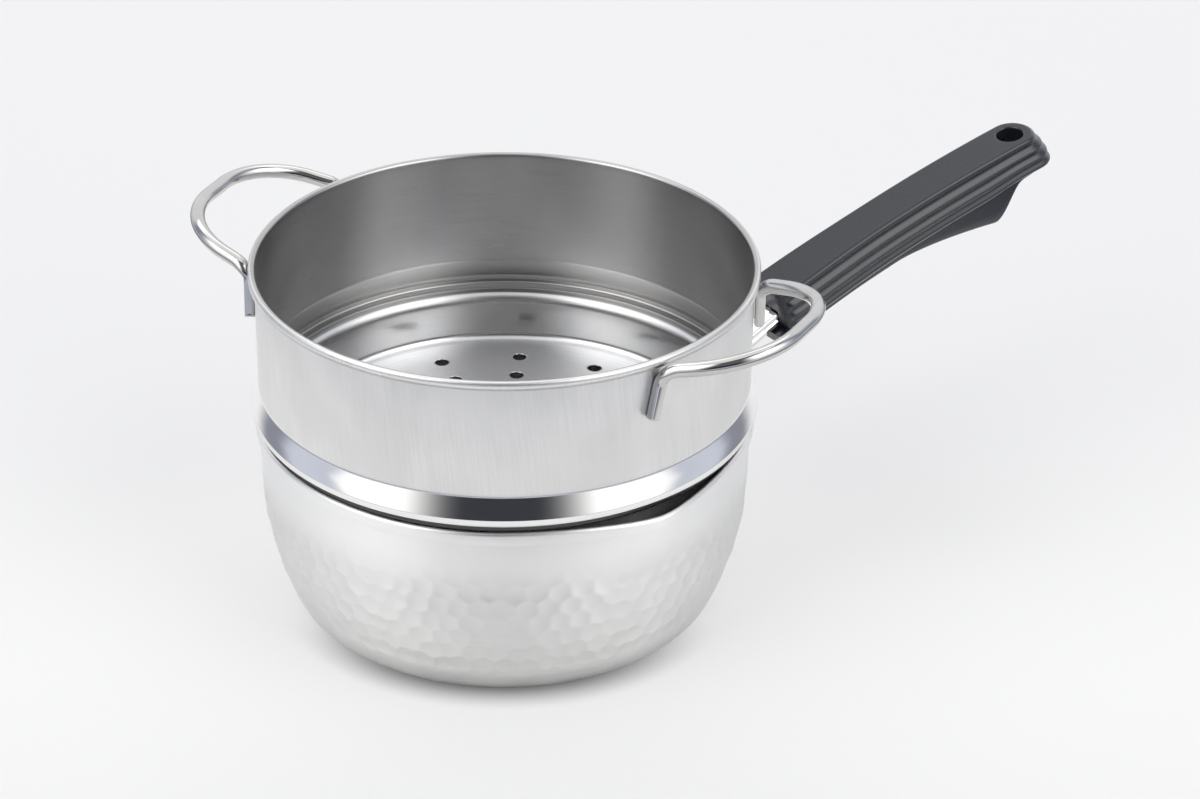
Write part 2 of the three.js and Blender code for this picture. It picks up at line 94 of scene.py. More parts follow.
# Quads between the neighbouring rows and columns of a grid that is numbered row by row
def gridQuads(rows, columns, wrapRows=False, wrapColumns=True, first=0):
    i = np.arange(rows if wrapRows else rows - 1)[:, None]
    j = np.arange(columns if wrapColumns else columns - 1)[None, :]
    nextI, nextJ = (i + 1) % rows, (j + 1) % columns
    corners = [i * columns + j, i * columns + nextJ, nextI * columns + nextJ, nextI * columns + j]
    return first + np.stack(np.broadcast_arrays(*corners), axis=-1).reshape(-1, 4)


# Triangles from a pole to a closed row of points; a pole that ends a grid has them the other way round
def poleFan(pole, row, ends=False):
    after = np.roll(row, -1)
    order = [row, after, np.full_like(row, pole)] if ends else [np.full_like(row, pole), after, row]
    return np.stack(order, axis=-1)


class Shell:
    # grids of points that are put together into one mesh
    def __init__(self):
        self.points, self.faces, self.count = [], [], 0

    def grid(self, points, wrapRows=False, wrapColumns=True):
        rows, columns = points.shape[:2]
        self.faces += gridQuads(rows, columns, wrapRows, wrapColumns, self.count).tolist()
        numbers = self.count + np.arange(rows * columns).reshape(rows, columns)
        self.points.append(points.reshape(-1, 3))
        self.count += rows * columns
        return numbers

    def pole(self, point, row, ends=False):
        self.faces += poleFan(self.count, row, ends).tolist()
        self.points.append(np.reshape(point, (1, 3)))
        self.count += 1

    # the mesh, with its meeting points joined, smooth but for edges sharper than an angle in degrees
    def piece(self, name, finish, body, nodes, sharp=38, closed=True):
        mesh = bpy.data.meshes.new(name)
        mesh.from_pydata(np.concatenate(self.points) * mm, [], self.faces)
        work = bmesh.new()
        work.from_mesh(mesh)
        bmesh.ops.remove_doubles(work, verts=work.verts, dist=0.002 * mm)
        if closed:
            bmesh.ops.recalc_face_normals(work, faces=work.faces)
        work.to_mesh(mesh)
        work.free()
        mesh.shade_smooth()
        mesh.set_sharp_from_angle(angle=math.radians(sharp))
        mesh.materials.append(finish)
        made = bpy.data.objects.new(name, mesh)
        scene.collection.objects.link(made)
        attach(made, body)
        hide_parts(*nodes)
        print(f"{name}: {len(mesh.vertices)} points, {len(mesh.polygons)} faces")
        return made


# Turned surface: every profile point (radius, height) goes round the upright axis
def turned(radius, height, turn):
    radius, height, turn = np.broadcast_arrays(radius, height, turn)
    return np.stack([radius * np.cos(turn), radius * np.sin(turn), height], axis=-1)


def evenTurns(columns):
    return np.linspace(0, 2 * np.pi, columns, endpoint=False)


# Finishes

class Shade:
    # a socket in a material's tree; operators on it add Math nodes
    def __init__(self, tree, socket=None):
        self.tree, self.socket = tree, socket

    # any node: its settings are set first, then the values or links of its sockets
    def node(self, kind, settings=None, inputs=None, output=0):
        made = self.tree.nodes.new(kind)
        for name, value in (settings or {}).items():
            setattr(made, name, value)
        for name, value in (inputs or {}).items():
            if isinstance(value, Shade):
                self.tree.links.new(value.socket, made.inputs[name])
            else:
                made.inputs[name].default_value = value
        return Shade(self.tree, made.outputs[output] if made.outputs else None)

    def math(self, operation, first, second=0.0):
        return self.node("ShaderNodeMath", {"operation": operation}, {0: first, 1: second})

    def __add__(self, other):
        return self.math("ADD", self, other)

    def __radd__(self, other):
        return self.math("ADD", other, self)

    def __sub__(self, other):
        return self.math("SUBTRACT", self, other)

    def __rsub__(self, other):
        return self.math("SUBTRACT", other, self)

    def __mul__(self, other):
        return self.math("MULTIPLY", self, other)

    def __rmul__(self, other):
        return self.math("MULTIPLY", other, self)

    def __truediv__(self, other):
        return self.math("DIVIDE", self, other)

    # 0 to 1 as this value goes from low to high
    def rise(self, low, high):
        return self.node("ShaderNodeMapRange", {"interpolation_type": "SMOOTHSTEP"},
                         {"Value": self, "From Min": low, "From Max": high})

    # 1 between two rises, each given as (low, high)
    def band(self, up, down):
        return self.rise(*up) * (1 - self.rise(*down))

    def dot(self, other):
        return self.node("ShaderNodeVectorMath", {"operation": "DOT_PRODUCT"}, {0: self, 1: other}, output=1)

    def length(self):
        return self.node("ShaderNodeVectorMath", {"operation": "LENGTH"}, {0: self}, output=1)

    def part(self, axis):
        return self.node("ShaderNodeSeparateXYZ", None, {0: self}, output=axis)

    def stretch(self, factors):
        return self.node("ShaderNodeVectorMath", {"operation": "MULTIPLY"}, {0: self, 1: factors})

    def noise(self, scale, detail=2.0, roughness=0.5):
        return self.node("ShaderNodeTexNoise", None,
                         {"Vector": self, "Scale": scale, "Detail": detail, "Roughness": roughness})

    # colour that goes from one to another with a factor
    def tint(self, factor, low, high):
        return self.node("ShaderNodeMix", {"data_type": "RGBA"}, {0: factor, 6: low, 7: high}, output=2)


def newFinish(name):
    material = bpy.data.materials.new(name)
    material.use_nodes = True
    material.node_tree.nodes.clear()
    start = Shade(material.node_tree)
    place = start.node("ShaderNodeTexCoord", None, None, output=3).stretch((1 / mm, 1 / mm, 1 / mm))
    return material, place


# Principled surface with fine relief; constants are given by socket name with _ for a space
def surface(place, color, rough, bump, strength, **constants):
    normal = place.node("ShaderNodeBump", None, {"Strength": strength, "Distance": 0.1 * mm, "Height": bump})
    inputs = {"Base Color": color, "Roughness": rough, "Normal": normal}
    inputs.update({name.replace("_", " "): value for name, value in constants.items()})
    return place.node("ShaderNodeBsdfPrincipled", None, inputs)


def showSurface(place, shader):
    place.node("ShaderNodeOutputMaterial", None, {"Surface": shader})


satinSteel = dict(pale=(0.84, 0.837, 0.83, 1), grey=(0.78, 0.777, 0.773, 1), band=(0.95, 0.947, 0.94, 1),
                  bandRise=(48, 72), rough=0.39, spread=0.04, stretch=0.76, across=0.25,
                  lineScale=(0.02, 0.02, 2.4), grainScale=1.6, cloudScale=0.05, relief=0.02)


# Satin sheet of the pan: fine lines round the wall, soft cloudy polish, and above the dents
# a colour that turns paler towards the rim, painted light on the upper wall
def satinFinish(look):
    material, place = newFinish("satinSteel")
    lines = place.stretch(look["lineScale"]).noise(1.0, 4.0, 0.65).rise(0.25, 0.75)
    grain = place.noise(look["grainScale"], 2.0, 0.6)
    cloud = place.noise(look["cloudScale"]).rise(0.3, 0.7)
    color = place.tint(0.5 * cloud + 0.5 * lines, look["grey"], look["pale"])
    # painted light: the colour turns paler towards the rim to brighten the upper wall
    color = place.tint(place.part(2).rise(*look["bandRise"]), color, look["band"])
    rough = look["rough"] + look["spread"] * (cloud + lines - 1)
    showSurface(place, surface(place, color, rough, 0.5 * lines + 0.5 * grain, look["relief"], Metallic=1.0,
                               Anisotropic=look["stretch"], Anisotropic_Rotation=look["across"]))
    return material


brushedSteel = dict(pale=(0.89, 0.885, 0.878, 1), grey=(0.7, 0.697, 0.692, 1), rough=0.36, spread=0.14,
                    polished=0.1, shadedWallPale=(0.52, 0.515, 0.51, 1), shadedWallGrey=(0.45, 0.447, 0.445, 1),
                    channelShadeGrey=(0.42, 0.415, 0.41, 1), neckShadeGrey=(0.08, 0.08, 0.085, 1), turnedRough=0.3,
                    lowerRough=0.2, litFloorPale=(0.97, 0.98, 1.0, 1), litFloorGrey=(0.84, 0.85, 0.875, 1),
                    floorRough=0.38, turnedSpread=0.06, stretch=0.3, floorStretch=0.7, across=0.25,
                    shoulder=((86.2, 86.5), (98.7, 99.2)), neck=((82.9, 83.2), (85.9, 86.2)),
                    channel=((83.9, 84.4), (97.9, 101.9)), wallRise=(78.5, 82.5), floorTop=(83.6, 83.9),
                    coarseScale=(0.9, 0.9, 0.025), fineScale=(2.6, 2.6, 0.05), fadeScale=0.03,
                    turnedScale=(0.03, 0.03, 2.6), patchScale=(0.04, 0.04, 0.025), ringScale=1.6,
                    slant=0.001, relief=0.14, wallRelief=0.02, floorRelief=0.06)


# Brushed sheet of the basket. Its outer wall has upright brush lines, slightly twisted round it, its shoulder
# is polished and the neck below that is painted near black as shade. Its inside is turned and crossed by
# brush lines; its inside walls are painted darker as shade, darker still in the channel, and its flats paler
# as painted light.
def brushedFinish(look):
    material, place = newFinish("brushedSteel")
    height = place.part(2)
    level = place.stretch((1, 1, 0))
    radius = level.length()
    normal = place.node("ShaderNodeTexCoord", None, None, output=1)
    outside = (normal.dot(level) / radius).rise(0.15, 0.35)
    flat = place.math("ABSOLUTE", normal.part(2)).rise(0.55, 0.75)
    twisted = place.node("ShaderNodeVectorRotate", {"rotation_type": "Z_AXIS"},
                         {"Vector": place, "Angle": height * look["slant"]})
    coarse = twisted.stretch(look["coarseScale"]).noise(1.0, 2.0, 0.6).rise(0.3, 0.7)
    fine = twisted.stretch(look["fineScale"]).noise(1.0, 3.0, 0.65).rise(0.3, 0.7)
    upright = 0.5 + (0.4 * coarse + 0.6 * fine - 0.5) * place.noise(look["fadeScale"]).rise(0.3, 0.7)
    turned = place.stretch(look["turnedScale"]).noise(1.0, 3.0, 0.65).rise(0.3, 0.7)
    patches = place.stretch(look["patchScale"]).noise(1.0, 2.0).rise(0.35, 0.65)
    rings = place.node("ShaderNodeTexNoise", {"noise_dimensions": "1D"},
                       {"W": radius, "Scale": look["ringScale"], "Detail": 3.0}).rise(0.25, 0.75)
    crossed = turned * (1 - 0.5 * patches) + upright * (0.5 * patches)
    shoulder = outside * height.band(*look["shoulder"])
    plain = 1 - shoulder
    outerColor = place.tint((0.7 * upright + 0.3 * patches) * plain + shoulder, look["grey"], look["pale"])
    # painted shade: the neck under the lip is coloured near black for the shade in that recess
    outerColor = place.tint(height.band(*look["neck"]), outerColor, look["neckShadeGrey"])
    outerRough = (look["rough"] + look["spread"] * (upright - 0.5)) * plain + look["polished"] * shoulder
    outer = surface(place, outerColor, outerRough, upright * plain, look["relief"], Metallic=1.0)
    # painted shade: the inside walls are coloured darker than the outside of the same sheet
    wallColor = place.tint(0.6 * crossed + 0.4 * patches, look["shadedWallGrey"], look["shadedWallPale"])
    # painted shade: the channel under the inner shoulder is coloured darker
    wallColor = place.tint(height.band(*look["channel"]), wallColor, look["channelShadeGrey"])
    below = 1 - height.rise(*look["wallRise"])
    wallRough = look["turnedRough"] + look["turnedSpread"] * (crossed - 0.5)
    wallRough = wallRough + (look["lowerRough"] - look["turnedRough"]) * below
    lining = surface(place, wallColor, wallRough, crossed, look["wallRelief"], Metallic=1.0,
                     Anisotropic=look["stretch"], Anisotropic_Rotation=look["across"])
    # painted light: the flats low inside are coloured paler than the walls
    floorColor = place.tint(rings, look["litFloorGrey"], look["litFloorPale"])
    floorRough = look["floorRough"] + look["turnedSpread"] * (rings - 0.5)
    floor = surface(place, floorColor, floorRough, rings, look["floorRelief"], Metallic=1.0,
                    Anisotropic=look["floorStretch"], Anisotropic_Rotation=look["across"])
    low = 1 - height.rise(*look["floorTop"])
    inside = place.node("ShaderNodeMixShader", None, {0: flat * low, 1: lining, 2: floor})
    showSurface(place, place.node("ShaderNodeMixShader", None, {0: outside, 1: inside, 2: outer}))
    return material


bracketSteel = dict(pale=(0.88, 0.875, 0.865, 1), grey=(0.8, 0.795, 0.785, 1), rough=0.06, spread=0.04)
wireSteel = dict(pale=(0.66, 0.655, 0.645, 1), grey=(0.54, 0.535, 0.525, 1), rough=0.05, spread=0.03)


# Bright polished wire or bracket, with wiped patches
def mirrorFinish(name, look):
    material, place = newFinish(name)
    wiped = place.noise(0.12, 3.0)
    color = place.tint(wiped, look["grey"], look["pale"])
    rough = look["rough"] + look["spread"] * (wiped - 0.5)
    showSurface(place, surface(place, color, rough, wiped, 0.02, Metallic=1.0))
    return material


platedSteel = dict(pale=(0.6, 0.61, 0.62, 1), grey=(0.46, 0.47, 0.48, 1), rough=0.38)


def platedFinish(look):
    material, place = newFinish("platedSteel")
    cloud = place.noise(0.6, 3.0)
    color = place.tint(cloud, look["grey"], look["pale"])
    rough = look["rough"] + 0.1 * (cloud - 0.5)
    showSurface(place, surface(place, color, rough, place.noise(6.0), 0.05, Metallic=1.0))
    return material


phenolic = dict(deep=(0.0115, 0.013, 0.0185, 1), pale=(0.0175, 0.0195, 0.027, 1), rough=0.28, index=1.45,
                coatIndex=1.33, coatRough=0.2, top=(-0.269, 0, 0.963), topRise=(0.9, 0.985))


# Moulded black handle: faint mottling and a fine grain, semi-matt on top and smoother down its coated sides
def phenolicFinish(look):
    material, place = newFinish("blackPhenolic")
    cloud = place.noise(0.08, 3.0)
    grain = place.noise(3.0, 2.0, 0.6)
    color = place.tint(0.6 * cloud + 0.4 * grain, look["deep"], look["pale"])
    rough = look["rough"] + 0.08 * (cloud - 0.5) + 0.06 * (grain - 0.5)
    normal = place.node("ShaderNodeTexCoord", None, None, output=1)
    coat = 1 - normal.dot(look["top"]).rise(*look["topRise"])
    showSurface(place, surface(place, color, rough, grain, 0.03, IOR=look["index"], Coat_Weight=coat,
                               Coat_IOR=look["coatIndex"], Coat_Roughness=look["coatRough"]))
    return material


satin = satinFinish(satinSteel)
brushed = brushedFinish(brushedSteel)
mirror = mirrorFinish("bracketSteel", bracketSteel)
wireMirror = mirrorFinish("wireSteel", wireSteel)
plated = platedFinish(platedSteel)
moulded = phenolicFinish(phenolic)
print("finishes made")


# Pan

panHigh = np.array(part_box("pan_body")[1]) / mm
panSheet = dict(rimRadius=panHigh[0], height=panHigh[2], wall=0.8, rimHeight=5.3, rimProud=1.7, rimEase=0.5,
                flankRadius=120, flankTop=56, cornerRadius=8, hub=8.0, columns=600, rowStep=0.85,
                innerStep=3.0)
panSpouts = dict(reach=5, dip=1.2, halfAngle=28, tipAngle=4, depth=32, angles=(91.3, -88.7))
panHammer = dict(low=12.5, high=65, foot=(9.5, 15.5), head=(50, 68), across=9.0, up=7.6, depth=0.78,
                 reach=5.8, jitter=0.2, seed=11)
panOuter = panSheet["rimRadius"] - panSheet["rimProud"]


# Share of a spout at an angle: two flanks that run down from a rounded tip, squared
def spoutShare(turn, spouts):
    shares = []
    for angle in spouts["angles"]:
        away = (np.degrees(turn) - angle + 180) % 360 - 180
        off = np.hypot(away, spouts["tipAngle"]) - spouts["tipAngle"]
        shares.append(np.maximum(0, 1 - off / spouts["halfAngle"]) ** 2)
    return np.maximum(*shares)


# Hammer dents: every blow leaves a bowl, depth times one less its squared distance, and the nearest one shows
def dentDepth(turn, height, hammer):
    columns = round(2 * np.pi * panOuter / hammer["across"])
    rows = math.ceil((hammer["high"] - hammer["low"]) / hammer["up"]) + 2
    drift = np.random.default_rng(hammer["seed"]).uniform(-1, 1, (rows, columns, 2)) * hammer["jitter"]
    across, up = turn / (2 * np.pi) * columns, (height - hammer["low"]) / hammer["up"]
    nearest = np.full(turn.shape, np.inf)
    for stepUp in (-1, 0, 1):
        row = np.floor(up).astype(int) + stepUp
        stagger = 0.5 * (row % 2)
        for stepAcross in (-1, 0, 1):
            column = np.floor(across - stagger).astype(int) + stepAcross
            shift = drift[row % rows, column % columns]
            sideways = (across - column - stagger - 0.5 - shift[..., 0]) * hammer["across"]
            upwards = (up - row - 0.5 - shift[..., 1]) * hammer["up"]
            nearest = np.minimum(nearest, sideways ** 2 + upwards ** 2)
    fade = smoothStep(height, *hammer["foot"]) * (1 - smoothStep(height, *hammer["head"]))
    return hammer["depth"] * np.maximum(0, 1 - nearest / hammer["reach"] ** 2) * fade


def makePan(sheet, spouts, hammer):
    inner, top = panOuter - sheet["wall"], sheet["height"]
    flankCentre = panOuter - sheet["flankRadius"]
    rise = sheet["flankTop"] - sheet["cornerRadius"]
    cornerCentre = flankCentre + math.sqrt((sheet["flankRadius"] - sheet["cornerRadius"]) ** 2 - rise ** 2)
    lean = -math.degrees(math.atan2(rise, cornerCentre - flankCentre))

    def flank(inset, bellySteps):
        corner = arcPoints((cornerCentre, sheet["cornerRadius"]), sheet["cornerRadius"] - inset, -90, lean, 8)
        belly = arcPoints((flankCentre, sheet["flankTop"]), sheet["flankRadius"] - inset, lean, 0, bellySteps)
        return np.concatenate([corner, belly[1:]])

    rim, flankTop = sheet["rimRadius"], sheet["flankTop"]
    hemLow, crown = top - sheet["rimHeight"], (sheet["wall"] + sheet["rimProud"]) / 2 - 0.05
    corners = [(panOuter, flankTop), (panOuter, hemLow), (rim, hemLow), (rim, top), (inner, top),
               (inner, flankTop)]
    hem = roundCorners(corners, [0.3, sheet["rimEase"], crown, crown])
    wall = densify(hem[:2], sheet["rowStep"])
    outside = np.concatenate([densify(flank(0, 30), sheet["rowStep"]), wall[1:]])
    inside = np.concatenate([densify(hem[-2:], sheet["innerStep"]), flank(sheet["wall"], 12)[::-1][1:]])
    base = np.array([(sheet["hub"], 0.0), (cornerCentre / 2, 0.0)])
    floor = np.array([(cornerCentre / 2, sheet["wall"]), (sheet["hub"], sheet["wall"])])
    profile = np.concatenate([base, outside, hem[2:-2], inside, floor])
    radius, height = profile[:, :1], profile[:, 1:]
    turn = evenTurns(sheet["columns"])[None, :]
    outer = (np.arange(len(profile)) < len(base) + len(outside))[:, None]
    radius, height, turn = np.broadcast_arrays(radius, height, turn)
    dents = dentDepth(turn, height, hammer) * outer
    fade = smoothStep(height, top - spouts["depth"], top - sheet["rimHeight"] / 2)
    share = spoutShare(turn, spouts) * fade
    points = turned(radius - dents + spouts["reach"] * share, height - spouts["dip"] * share, turn)
    shell = Shell()
    numbers = shell.grid(points)
    shell.pole((0, 0, 0), numbers[0])
    shell.pole((0, 0, sheet["wall"]), numbers[-1], ends=True)
    return shell.piece("panHammered", satin, "pan", ["pan_body"], closed=False)


makePan(panSheet, panSpouts, panHammer)


# Basket

basketLow, basketHigh = (np.array(corner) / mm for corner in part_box("basket_body"))
basketSheet = dict(low=basketLow[2], top=basketHigh[2], lipRadius=basketHigh[0], wall=0.7, sink=21.5,
                   lowerRadius=96.1, floorFillet=4, ledgeRadius=101.65, lipRise=3.2, lipHeight=3.2,
                   shoulderDepth=3.2, shoulderHeight=8.8, shoulderBend=4.5, shoulderEase=0.9, rimProud=2.2,
                   rimHeight=3.4, tightBend=0.45, lipBend=0.95, lipLift=0.45, wideBend=1.1, ledgeBend=4.3,
                   columns=392, longStep=5.0)
steamHoles = dict(diameter=6, pitch=16.5, rings=((77, 14), (60.5, 14), (44, 14), (27.5, 7)), sideSteps=12,
                  rows=(0, 0.06, 0.2, 0.5, 1))


# Points of a circle that lie towards the points of a loop
def circleTowards(loop, middle, radius):
    return middle + unit(loop[:, :2] - middle) * radius


# Holed ring of the floor: in each polar cell the rows run from the hole's circle out to the cell's border
def holedRing(shell, radius, count, sheet, holes):
    half, arcSteps = np.pi / count, sheet["columns"] // count
    inner, outer = radius - holes["pitch"] / 2, radius + holes["pitch"] / 2
    along = np.linspace(-half, half, arcSteps + 1)
    down = np.linspace(outer, inner, holes["sideSteps"] + 1)
    far, close = np.full(arcSteps, outer), np.full(arcSteps, inner)
    left = np.full(len(down) - 1, half)
    borderRadius = np.concatenate([far, down[:-1], close, down[:0:-1]])
    borderTurn = np.concatenate([along[:-1], left, along[:0:-1], -left])
    border = np.column_stack([borderRadius * np.cos(borderTurn), borderRadius * np.sin(borderTurn)])
    circle = circleTowards(border, np.array([radius, 0.0]), holes["diameter"] / 2)
    share = np.array(holes["rows"])[:, None, None]
    cell = mixed(circle[None], border[None], share)
    reach = np.hypot(cell[..., 0], cell[..., 1])
    swing = np.arctan2(cell[..., 1], cell[..., 0])
    for number in range(count):
        shell.grid(turned(reach, sheet["low"], swing + 2 * np.pi * number / count))


def makeBasket(sheet, holes):
    low, top, lip = sheet["low"], sheet["top"], sheet["lipRadius"]
    ledge, wallRadius = low + sheet["sink"], lip - sheet["shoulderDepth"]
    lipLow = ledge + sheet["lipRise"]
    lipTop = lipLow + sheet["lipHeight"]
    shoulderTop = lipTop + sheet["shoulderHeight"]
    hemLow = top - sheet["rimHeight"]
    floorEdge = holes["rings"][0][0] + holes["pitch"] / 2
    lower, neck = sheet["lowerRadius"], sheet["ledgeRadius"]
    corners = [(floorEdge, low), (lower, low), (lower, ledge), (neck, ledge), (neck, lipLow),
               (lip, lipLow + sheet["lipLift"]), (lip, lipTop), (wallRadius, shoulderTop),
               (wallRadius, hemLow)]
    bends = [sheet[bend] for bend in ("floorFillet", "ledgeBend", "wideBend", "tightBend", "lipBend",
                                      "shoulderEase", "shoulderBend")]
    roll = (sheet["wall"] + sheet["rimProud"]) / 2 - sheet["wall"]
    rollCentre = (wallRadius + roll, top - roll - sheet["wall"])
    hem = np.concatenate([arcPoints(rollCentre, roll, 180, 0, 10), [(wallRadius + 2 * roll, hemLow)]])
    profile = densify(np.concatenate([roundCorners(corners, bends, 7), hem]), sheet["longStep"])
    shell = Shell()
    shell.grid(turned(profile[:, :1], profile[:, 1:], evenTurns(sheet["columns"])[None, :]))
    for radius, count in holes["rings"]:
        holedRing(shell, radius, count, sheet, holes)
    hub = holes["rings"][-1][0] - holes["pitch"] / 2
    hubRadii = np.array([hub / 4, hub / 2, hub])[:, None]
    numbers = shell.grid(turned(hubRadii, low, evenTurns(sheet["columns"])[None, :]))
    shell.pole((0, 0, low), numbers[0])
    made = shell.piece("steamerBasket", brushed, "basket", ["basket_body"], closed=False)
    thick = made.modifiers.new("sheetThickness", "SOLIDIFY")
    thick.thickness = sheet["wall"] * mm
    thick.offset = -1
    thick.use_even_offset = True
    return made


makeBasket(basketSheet, steamHoles)


# Wire loops

wireLoop = dict(diameter=6, halfWidth=41.5, reach=28.6, flare=13, cornerRadius=33.5, legDrop=25, rootDrop=5,
                endRise=4.1, bendRadius=9, splay=4.5, flatness=0.72, narrowness=0.76, square=0.55, flute=0.16,
                flutes=7, pressLength=20, pressFade=5, gap=0.25, sides=32, step=0.9, ease=0.4, easeShare=0.12,
                angles={"loop_handle_front": -65, "loop_handle_back": 121})


# Round wire carried along a path: centre plus radius times the cosine and sine of two square directions
def wirePoints(path, radius, sides):
    tangent = unit(np.gradient(path, axis=0))
    steady = np.array([1.0, 0.0, -1.0])          # never along the wire
    across = unit(np.cross(tangent, steady))
    up = np.cross(across, tangent)
    turn = evenTurns(sides)[None, :, None]
    return path[:, None] + radius * (np.cos(turn) * across[:, None] + np.sin(turn) * up[:, None])


# Path with points at even steps along it
def evenSteps(path, step):
    run = np.concatenate([[0], np.cumsum(np.linalg.norm(np.diff(path, axis=0), axis=1))])
    places = np.linspace(0, run[-1], math.ceil(run[-1] / step) + 1)
    return np.column_stack([np.interp(places, run, path[:, axis]) for axis in range(3)])


def makeLoop(node, angle, wire):
    top, wallRadius = basketSheet["top"], basketSheet["lipRadius"] - basketSheet["shoulderDepth"]
    radius = wire["diameter"] / 2
    legRadius = wallRadius + wire["gap"] + radius
    legOut = math.sqrt(legRadius ** 2 - wire["halfWidth"] ** 2)
    rootTurn = math.atan2(wire["halfWidth"], legOut)
    footTurn = rootTurn + wire["splay"] / legRadius
    legLow, legHigh = top - wire["legDrop"], top - wire["rootDrop"]
    reach = legRadius + wire["reach"]
    cornerSide = wire["halfWidth"] - (reach - legOut) * math.tan(math.radians(wire["flare"]))
    side = [(legRadius * math.cos(footTurn), legRadius * math.sin(footTurn), legLow),
            (legOut, wire["halfWidth"], legHigh), (reach, cornerSide, top + wire["endRise"])]
    corners = [(x, -y, z) for x, y, z in side] + side[::-1]
    bends = [wire["bendRadius"], wire["cornerRadius"], wire["cornerRadius"], wire["bendRadius"]]
    path = evenSteps(roundCorners(corners, bends, 40), wire["step"])
    points = wirePoints(path, radius, wire["sides"])
    ease = np.linspace(0, 1, 4)[:-1]
    first, last = points[0] - path[0], points[-1] - path[-1]
    swell = 1 - wire["easeShare"] * (1 - np.sqrt(1 - (1 - ease) ** 2))
    capLow = path[0] + swell[:, None, None] * first + ease[:, None, None] * [0, 0, wire["ease"]]
    capHigh = path[-1] + swell[::-1, None, None] * last + ease[::-1, None, None] * [0, 0, wire["ease"]]
    points = np.concatenate([capLow, points[1:-1], capHigh])
    middles = np.concatenate([np.repeat(path[:1], 3, 0), path[1:-1], np.repeat(path[-1:], 3, 0)])[:, None]
    # the welded legs are pressed: squarer, flatter towards the wall and narrower along it
    pressTop, height = legLow + wire["pressLength"], points[..., 2]
    press = 1 - smoothStep(height, pressTop - wire["pressFade"], pressTop)
    legTurn = mixed(footTurn, rootTurn, (height - legLow) / (legHigh - legLow)) * np.sign(points[..., 1])
    outward = np.stack([np.cos(legTurn), np.sin(legTurn)], axis=-1)
    sideways = np.stack([-outward[..., 1], outward[..., 0]], axis=-1)
    offset = (points - middles)[..., :2]
    out = (offset * outward).sum(-1)
    along = (offset * sideways).sum(-1)
    size = np.maximum(np.hypot(out, along), 1e-6)
    power = mixed(1, wire["square"], press)
    outSquare = np.sign(out) * size * np.abs(out / size) ** power
    alongSquare = np.sign(along) * size * np.abs(along / size) ** power * mixed(1, wire["narrowness"], press)
    outSquare = (outSquare + radius) * mixed(1, wire["flatness"], press) - radius
    waves = 1 - np.cos(wire["flutes"] * np.arctan2(along, out))
    outSquare = outSquare - wire["flute"] * press * (out > 0) * waves
    moved = middles[..., :2] + outSquare[..., None] * outward + alongSquare[..., None] * sideways
    moved = np.where(press[..., None] > 0, moved, points[..., :2])
    points = np.concatenate([moved, points[..., 2:]], axis=-1)
    cosine, sine = math.cos(math.radians(angle)), math.sin(math.radians(angle))
    spin = np.array([[cosine, sine, 0], [-sine, cosine, 0], [0, 0, 1]])
    shell = Shell()
    numbers = shell.grid(points @ spin)
    for row, ends in ((0, False), (-1, True)):
        shell.pole(points[row].mean(0) @ spin, numbers[row], ends)
    name = node.replace("loop_handle_", "wireLoop_")
    return shell.piece(name, wireMirror, "basket", [node])


for node, angle in wireLoop["angles"].items():
    makeLoop(node, angle, wireLoop)


# Handle

gripShape = dict(tilt=15.6, standoff=34.8, rootRise=13, arch=2.9, holeDistance=143.8, holeDiameter=12,
                 endShift=0.6, endLean=0.32, rootFlare=1.2, edgeDepth=1.9, ridgeHalf=12, ridgeSize=0.7,
                 ridgePitch=5.5, firstRidge=1.55, bulgeCurve=0.0135, bulgeDepth=12.5, sideDepth=19.6,
                 sideSteps=52, squeezeNear=25, squeezeFar=7, tipFade=0.55, nearRound=5, nearFade=6,
                 webHalf=9.5, keelNear=22.7, keelMid=21.2, keelBelly=33.7, keelEnd=19.8, straightEnd=66,
                 bellyEnd=122, bellyCurve=1.42, taperEnd=45, fallLength=20, keelRound=2, tongueLength=4.6,
                 tongueDepth=17.9, holeEase=0.9, stations=84, endSteps=40, across=12, patchStart=131)
tang = dict(width=12, height=6, sheet=1.4, ribWidth=3.6, ribHeight=0.7, groove=0.9, grooveDepth=0.7,
            length=34, depth=13.3, bendRadius=17, clearance=0.35, screwDistance=14, screwRoom=6,
            pocketRadius=3.8, boreRadius=2.3, pocketDepth=3.7, boreDepth=5.2)
gripRoot = np.array([panOuter + gripShape["standoff"], 0, panSheet["height"] + gripShape["rootRise"]])


# From the grip's own frame, x along its chord and z square to it, into the part
def gripToPart(points):
    tilt = math.radians(gripShape["tilt"])
    x, y, z = points[..., 0], points[..., 1], points[..., 2]
    return gripRoot + np.stack([x * math.cos(tilt) - z * math.sin(tilt), y,
                                x * math.sin(tilt) + z * math.cos(tilt)], axis=-1)


def archRise(x, grip):
    share = x / grip["holeDistance"]
    return 4 * grip["arch"] * share * (1 - share)


# Depth of the keel: a slow taper, a belly that swells as a power of the way along, and a fall at its end
def keelDepth(x, grip):
    taper = mixed(grip["keelNear"], grip["keelMid"], smoothStep(x, -grip["tongueLength"], grip["taperEnd"]))
    way = np.clip((x - grip["straightEnd"]) / (grip["bellyEnd"] - grip["straightEnd"]), 0, 1)
    belly = mixed(grip["keelMid"], grip["keelBelly"], way ** grip["bellyCurve"])
    fall = mixed(grip["keelBelly"], grip["keelEnd"],
                 smoothStep(x, grip["bellyEnd"], grip["bellyEnd"] + grip["fallLength"]))
    return np.where(x < grip["straightEnd"], taper, np.where(x < grip["bellyEnd"], belly, fall))


